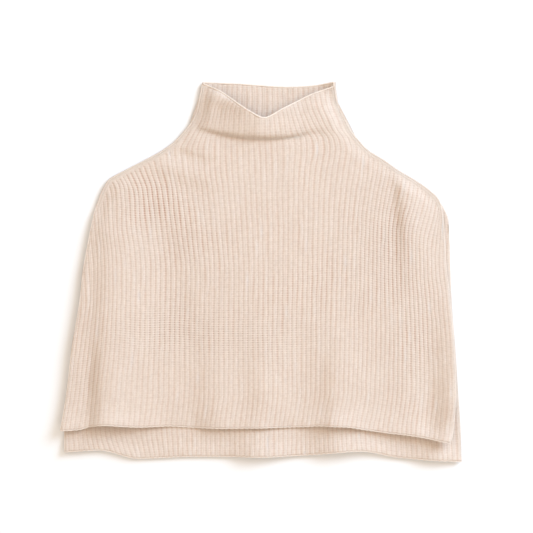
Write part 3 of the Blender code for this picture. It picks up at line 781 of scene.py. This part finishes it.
class Nodes:
    """Short calls for building one material's nodes."""

    MIX_COLOURS = (6, 7)       # numbers of the colour sockets of a mix node, which share their names
    MIX_RESULT = 2             # with its other sockets

    def __init__(self, material):
        material.use_nodes = True
        self.tree = material.node_tree
        self.shader = self.tree.nodes["Principled BSDF"]

    def add(self, kind, **settings):
        """A new node with these settings."""
        node = self.tree.nodes.new(kind)
        for key, value in settings.items():
            setattr(node, key, value)
        return node

    def link(self, source, target):
        """Join an output to an input."""
        self.tree.links.new(source, target)

    def feed(self, node, key, value):
        """Link a socket to an input, or set a number or colour on it."""
        if isinstance(value, bpy.types.NodeSocket):
            self.link(value, node.inputs[key])
        else:
            node.inputs[key].default_value = value

    def math(self, operation, first, second=0.0, third=0.0):
        """The result of a sum on up to three numbers or sockets."""
        node = self.add("ShaderNodeMath", operation=operation)
        for key, value in enumerate((first, second, third)):
            self.feed(node, key, value)
        return node.outputs[0]

    def uv_pair(self, name):
        """The two values of a UV layer."""
        uv = self.add("ShaderNodeUVMap", uv_map=name)
        split = self.add("ShaderNodeSeparateXYZ")
        self.link(uv.outputs["UV"], split.inputs["Vector"])
        return split.outputs["X"], split.outputs["Y"]

    def ramp(self, value, ramp):
        """A value put through a smooth ramp."""
        node = self.add("ShaderNodeMapRange", interpolation_type="SMOOTHSTEP")
        for key, item in zip(("Value", "From Min", "From Max", "To Min", "To Max"), (value, *ramp)):
            self.feed(node, key, item)
        return node.outputs["Result"]

    def noise(self, noise):
        """Noise in the cloth's own place, about 0.5."""
        place = self.add("ShaderNodeTexCoord").outputs["Object"]
        node = self.add("ShaderNodeTexNoise")
        self.link(place, node.inputs["Vector"])
        node.inputs["Scale"].default_value = noise.scale
        node.inputs["Detail"].default_value = noise.detail
        node.inputs["Roughness"].default_value = noise.roughness
        return node.outputs["Fac"]

    def mix(self, factor, first, second, blend="MIX"):
        """A blend of two colours."""
        node = self.add("ShaderNodeMix", data_type="RGBA", blend_type=blend)
        self.feed(node, "Factor", factor)
        for key, value in zip(self.MIX_COLOURS, (first, second)):
            self.feed(node, key, value)
        return node.outputs[self.MIX_RESULT]


def yarn_normal(nodes, beside, course, fibre):
    """Fine relief: the two legs of each stitch, the twist of their yarn, and fibres."""
    step = nodes.math("FRACT", course)
    leg_line = nodes.math("MULTIPLY_ADD", step, LEG_SPREAD, LEG_FOOT)
    from_leg = nodes.math("ABSOLUTE", nodes.math("SUBTRACT", beside, leg_line))
    leg = nodes.ramp(from_leg, LEG_RAMP)
    turn_along = nodes.math("MULTIPLY", step, TWIST_ALONG)
    twist = nodes.math("SINE", nodes.math("MULTIPLY_ADD", beside, TWIST_ACROSS, turn_along))
    height = nodes.math("MULTIPLY_ADD", twist, TWIST_HEIGHT, leg)
    height = nodes.math("MULTIPLY_ADD", fibre, FIBRE_HEIGHT, height)
    bump = nodes.add("ShaderNodeBump")
    bump.inputs["Strength"].default_value = BUMP_STRENGTH
    bump.inputs["Distance"].default_value = BUMP_DISTANCE
    nodes.link(height, bump.inputs["Height"])
    return bump.outputs["Normal"]


def yarn_tone_and_painted_shade(nodes, rib, course, valley, stitches_clear):
    """Painted shade between the stitches, and the yarn's own tone, uneven by stitch, in patches and in
    flecks.
    """
    swing = nodes.math("COSINE", nodes.math("MULTIPLY", course, 2.0 * np.pi))
    # painted shade in the gaps between the stitches of each rib, deeper in the valleys
    between = nodes.ramp(swing, PAINTED_GAP_SHADE_RAMP)
    deepest_gap_shade = nodes.math("MULTIPLY_ADD", valley, VALLEY_GAP_SHADE, CREST_GAP_SHADE)
    gap_shade = nodes.math("MULTIPLY", between, deepest_gap_shade)
    gap_shade = nodes.math("MULTIPLY", gap_shade, stitches_clear)
    gap_shade_factor = nodes.math("SUBTRACT", 1.0, gap_shade)
    stitch = nodes.add("ShaderNodeCombineXYZ")
    nodes.link(nodes.math("FLOOR", nodes.math("MULTIPLY", rib, 2.0)), stitch.inputs["X"])
    nodes.link(nodes.math("FLOOR", course), stitch.inputs["Y"])
    stitch_number = nodes.add("ShaderNodeTexWhiteNoise", noise_dimensions="2D")
    nodes.link(stitch.outputs["Vector"], stitch_number.inputs["Vector"])
    each_shade = nodes.ramp(stitch_number.outputs["Value"], STITCH_RAMP)
    patches = nodes.ramp(nodes.noise(PATCH_NOISE), PATCH_RAMP)
    flecks = nodes.ramp(nodes.noise(FLECK_NOISE), FLECK_RAMP)
    shade = nodes.math("MULTIPLY", patches, flecks)
    shade = nodes.math("MULTIPLY", shade, nodes.math("MULTIPLY", gap_shade_factor, each_shade))
    warm_shade = nodes.add("ShaderNodeCombineColor")
    for key, power in enumerate(TONE_AND_SHADE_POWERS):
        nodes.link(nodes.math("POWER", shade, power), warm_shade.inputs[key])
    return warm_shade.outputs["Color"]


def wool_material(name, crest_colour, glow):
    """Pale wool: V-shaped stitches of twisted yarn, with painted shade, darker and warmer, in the valleys
    and between the stitches, and a soft matt nap.
    """
    material = bpy.data.materials.new(name)
    nodes = Nodes(material)
    rib, course = nodes.uv_pair("knit")
    ribs_clear, stitches_clear = nodes.uv_pair("clear")
    part = nodes.math("FRACT", rib)
    beside = nodes.math("ABSOLUTE", nodes.math("SUBTRACT", part, 0.5))
    fibre = nodes.noise(FIBRE_NOISE)
    nodes.link(yarn_normal(nodes, beside, course, fibre), nodes.shader.inputs["Normal"])

    patchy = nodes.ramp(nodes.noise(VALLEY_SHADE_NOISE), VALLEY_SHADE_NOISE_RAMP)
    valley = nodes.ramp(beside, VALLEY_SHADE_RAMP)
    valley_shade = nodes.math("MULTIPLY", valley, nodes.math("MULTIPLY", patchy, ribs_clear))
    # the crest colour with painted shade in the valleys, times the yarn's tone and the painted shade
    # between stitches
    colour = nodes.mix(valley_shade, crest_colour, PAINTED_VALLEY_SHADE_COLOUR)
    shade = yarn_tone_and_painted_shade(nodes, rib, course, valley, stitches_clear)
    nodes.link(nodes.mix(1.0, colour, shade, "MULTIPLY"), nodes.shader.inputs["Base Color"])

    nodes.link(nodes.ramp(fibre, ROUGHNESS_RAMP), nodes.shader.inputs["Roughness"])
    nodes.shader.inputs["Specular IOR Level"].default_value = WOOL_SPECULAR
    nodes.shader.inputs["Subsurface Weight"].default_value = glow
    nodes.shader.inputs["Subsurface Scale"].default_value = GLOW_SCALE
    nodes.shader.inputs["Subsurface Radius"].default_value = GLOW_RADIUS
    nodes.shader.inputs["Sheen Weight"].default_value = SHEEN
    nodes.shader.inputs["Sheen Roughness"].default_value = SHEEN_ROUGHNESS
    nodes.shader.inputs["Sheen Tint"].default_value = SHEEN_TINT
    return material


def floor_material():
    """Smooth pale paper with a faint mottle."""
    material = bpy.data.materials.new("pale_floor")
    nodes = Nodes(material)
    mottle = nodes.ramp(nodes.noise(FLOOR_NOISE), FLOOR_RAMP)
    paler = tuple(channel * FLOOR_MOTTLE for channel in FLOOR_COLOUR[:3]) + (1.0,)
    nodes.link(nodes.mix(mottle, FLOOR_COLOUR, paler), nodes.shader.inputs["Base Color"])
    nodes.shader.inputs["Roughness"].default_value = FLOOR_ROUGHNESS
    nodes.shader.inputs["Specular IOR Level"].default_value = FLOOR_SPECULAR
    return material


def make_floor():
    """A wide floor under the garment."""
    mesh = bpy.data.meshes.new("floor")
    signs = ((-1, -1), (1, -1), (1, 1), (-1, 1))
    corners = [(x * FLOOR_HALF, y * FLOOR_HALF, -FLOOR_DROP) for x, y in signs]
    mesh.from_pydata(corners, [], [(0, 1, 2, 3)])
    mesh.materials.append(floor_material())
    floor = bpy.data.objects.new("floor", mesh)
    bpy.context.scene.collection.objects.link(floor)


def make_light(name, place, size, power, colour):
    """A square softbox that faces the garment."""
    light = bpy.data.lights.new(name, "AREA")
    light.size = size
    light.energy = power
    light.color = colour
    lamp = bpy.data.objects.new(name, light)
    lamp.location = place
    lamp.rotation_euler = (-Vector(place)).to_track_quat("-Z", "Y").to_euler()
    bpy.context.scene.collection.objects.link(lamp)


def make_stage():
    """Floor, softboxes, sky and the camera straight above."""
    make_floor()
    make_light("key_softbox", KEY_PLACE, KEY_SIZE, KEY_POWER, KEY_COLOUR)
    make_light("overhead_softbox", FILL_PLACE, FILL_SIZE, FILL_POWER, FILL_COLOUR)
    world = bpy.data.worlds.new("studio")
    world.use_nodes = True
    sky = world.node_tree.nodes["Background"]
    sky.inputs["Color"].default_value = SKY_COLOUR
    sky.inputs["Strength"].default_value = SKY_STRENGTH
    bpy.context.scene.world = world
    bpy.context.scene.view_settings.view_transform = "Standard"
    camera = bpy.data.objects.new("camera", bpy.data.cameras.new("camera"))
    camera.location = CAMERA_PLACE
    camera.data.lens = CAMERA_LENS
    camera.data.sensor_width = CAMERA_SENSOR
    bpy.context.scene.collection.objects.link(camera)
    bpy.context.scene.camera = camera


def dress(piece, wool):
    """Give a piece its wool and fasten it to the garment's body."""
    piece.data.materials.append(wool)
    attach(piece, "root")
    return piece


make_stage()
wool = wool_material("wool_knit", CREST_COLOUR, KNIT_GLOW)
# the chain edges take a paler copy of the wool, a painted highlight along the edges
highlight_edge_wool = wool_material("wool_edge_painted_highlight", EDGE_HIGHLIGHT_COLOUR, EDGE_GLOW)
back = dress(knit_shell("back_knit", BACK, back_place, (), BACK_SEED), wool)
front = dress(knit_shell("front_knit", FRONT, front_place, FRONT_SPOTS, FRONT_SEED), wool)
back_edges = dress(panel_edges("back_edges", BACK, back_place), highlight_edge_wool)
front_edges = dress(panel_edges("front_edges", FRONT, front_place), highlight_edge_wool)
front_bands = dress(fashioned_bands("front_bands", FRONT, front_place), wool)

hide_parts("back_panel")
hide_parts("front_panel")
BACK.area() * MM * MM
FRONT.area() * MM * MM
